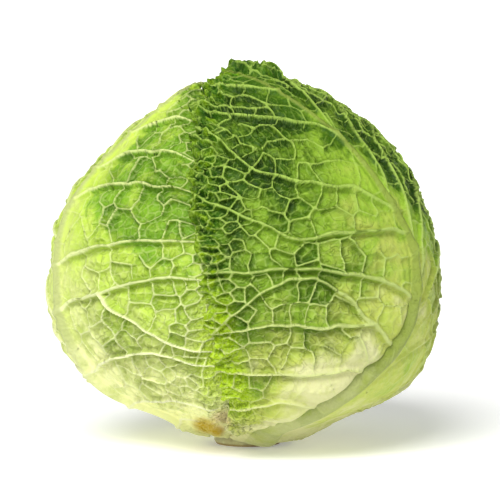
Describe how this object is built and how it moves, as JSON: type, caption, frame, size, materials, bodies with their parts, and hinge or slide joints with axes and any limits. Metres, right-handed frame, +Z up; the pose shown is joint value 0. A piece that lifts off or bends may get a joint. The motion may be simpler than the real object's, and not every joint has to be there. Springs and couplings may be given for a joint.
{
  "type": "savoy cabbage",
  "caption": "Whole savoy cabbage head of crinkled wrapper leaves with raised pale veins and waved margins, standing on its cut stem.",
  "frame": {"origin": "centre of the cut face of the stem, where the head rests", "axes": "+Z up through the crown; -Y towards the side where the outermost leaf's margin crosses the head; +X to the right of it"},
  "size_m": [0.1911, 0.1914, 0.1864],
  "materials": {
    "leaf_outer_green": "satin",
    "leaf_outer_lime": "satin",
    "leaf_back_green": "satin",
    "leaf_inner_green": "satin",
    "heart_pale": "satin",
    "stem_cut": "matte"
  },
  "bodies": {
    "root": {"leaf_1": "leaf_outer_green", "leaf_2": "leaf_outer_lime", "leaf_3": "leaf_back_green", "leaf_4": "leaf_inner_green", "leaf_5": "leaf_inner_green", "heart": "heart_pale", "stem": "stem_cut"}
  },
  "joints": []
}
